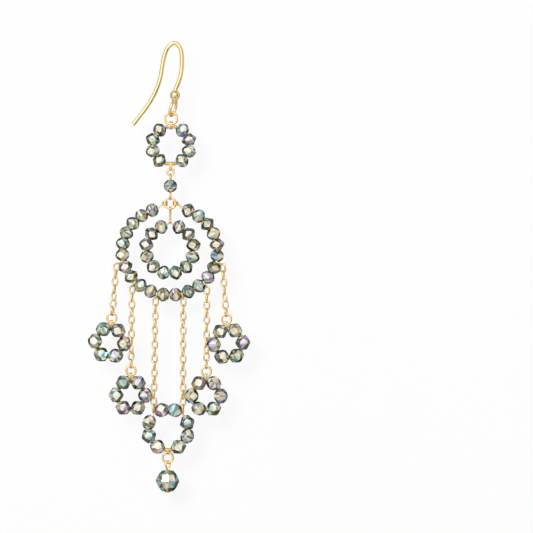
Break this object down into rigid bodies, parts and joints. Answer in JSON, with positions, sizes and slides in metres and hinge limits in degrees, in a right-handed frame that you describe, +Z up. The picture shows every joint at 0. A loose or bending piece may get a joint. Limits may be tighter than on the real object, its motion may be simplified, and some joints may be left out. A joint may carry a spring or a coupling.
{
  "type": "chandelier earring",
  "caption": "Chandelier drop earring: strung rings of smoky faceted crystal beads on gold-coloured wire, with cable chains and flower-shaped bead drops under a fish-hook ear wire.",
  "frame": {"origin": "top of the ear wire's bow on its inner side, where the earring hangs", "axes": "+Z up along the hanging drop, the earring faces -Y, +X to the right as seen from the front"},
  "size_m": [0.0398, 0.006, 0.1127],
  "materials": {
    "gold_wire": "polished",
    "smoky_crystal": "faceted, iridescent coating"
  },
  "bodies": {
    "ear_hook": {"ear_wire": "gold_wire"},
    "hook_ring": {"top_jump_ring": "gold_wire"},
    "drop": {"top_bead_ring": "smoky_crystal", "link_ring": "gold_wire", "link_pin": "gold_wire", "link_bead": "smoky_crystal", "connector_ring": "gold_wire", "outer_hoop": "smoky_crystal", "hoop_hanger": "gold_wire", "inner_hoop": "smoky_crystal", "chain_1": "gold_wire", "chain_2": "gold_wire", "chain_3": "gold_wire", "chain_4": "gold_wire", "chain_5": "gold_wire", "chain_6": "gold_wire", "flower_jump_ring_1": "gold_wire", "flower_jump_ring_2": "gold_wire", "flower_jump_ring_5": "gold_wire", "flower_jump_ring_6": "gold_wire", "flower_ring_1": "smoky_crystal", "flower_ring_2": "smoky_crystal", "flower_ring_5": "smoky_crystal", "flower_ring_6": "smoky_crystal", "bottom_bead_ring": "smoky_crystal", "bottom_jump_ring": "gold_wire", "drop_pin": "gold_wire", "drop_bead": "smoky_crystal"}
  },
  "joints": [
    {"name": "ring_sway", "type": "hinge", "parent": "ear_hook", "child": "hook_ring", "pos_m": [-0.0006, 0, -0.01755], "axis": [0, 1, 0], "range_deg": [-30, 30]},
    {"name": "drop_swing", "type": "hinge", "parent": "hook_ring", "child": "drop", "pos_m": [-0.0006, 0, -0.01972], "axis": [1, 0, 0], "range_deg": [-60, 60]}
  ]
}
